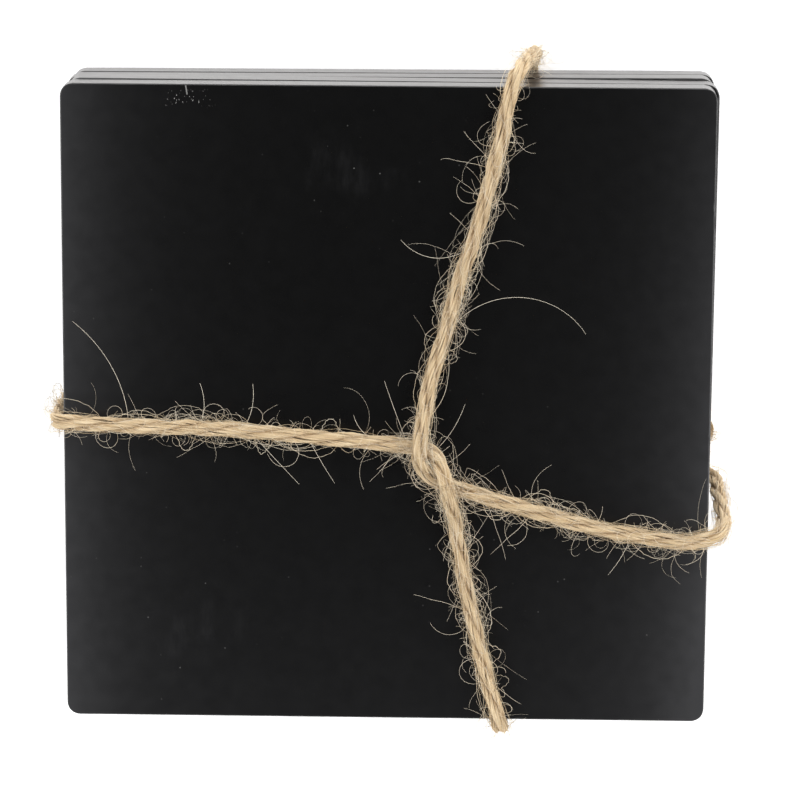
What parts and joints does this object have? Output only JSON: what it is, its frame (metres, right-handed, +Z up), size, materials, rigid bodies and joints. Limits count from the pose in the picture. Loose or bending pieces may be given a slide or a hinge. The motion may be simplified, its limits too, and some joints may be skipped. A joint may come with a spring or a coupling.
{
  "type": "coaster set",
  "caption": "Square black coasters stacked flat and tied crosswise with hairy jute twine, knotted underneath.",
  "frame": {"origin": "on the surface the stack lies on, under the middle of the whole part", "axes": "+Z up out of the top coaster's face, +Y towards the top edge of the face, +X towards the twine's slack loop"},
  "size_m": [0.1059, 0.1068, 0.0274],
  "materials": {
    "black_stone": "honed, satin black with a little dust",
    "jute": "dry, loosely laid natural jute with loose fibres"
  },
  "bodies": {
    "tied_base": {"coaster_4": "black_stone", "twine_right_loop": "jute", "twine_front_right": "jute", "twine_front_top": "jute", "twine_top_wrap": "jute", "twine_under_along": "jute", "twine_bottom_wrap": "jute", "twine_front_bottom": "jute", "twine_front_left": "jute", "twine_left_wrap": "jute", "twine_under_across": "jute", "twine_knot": "jute", "twine_tail_long": "jute", "twine_tail_short": "jute"},
    "top_coaster": {"coaster_1": "black_stone"},
    "second_coaster": {"coaster_2": "black_stone"},
    "third_coaster": {"coaster_3": "black_stone"}
  },
  "joints": [
    {"name": "top_coaster_play", "type": "slide", "parent": "tied_base", "child": "top_coaster", "axis": [1, 0, 0], "range_m": [0, 0.0008]},
    {"name": "second_coaster_play", "type": "slide", "parent": "tied_base", "child": "second_coaster", "axis": [1, 0, 0], "range_m": [-0.0004, 0.0003]},
    {"name": "third_coaster_play", "type": "slide", "parent": "tied_base", "child": "third_coaster", "axis": [1, 0, 0], "range_m": [-0.0002, 0.0005]}
  ]
}
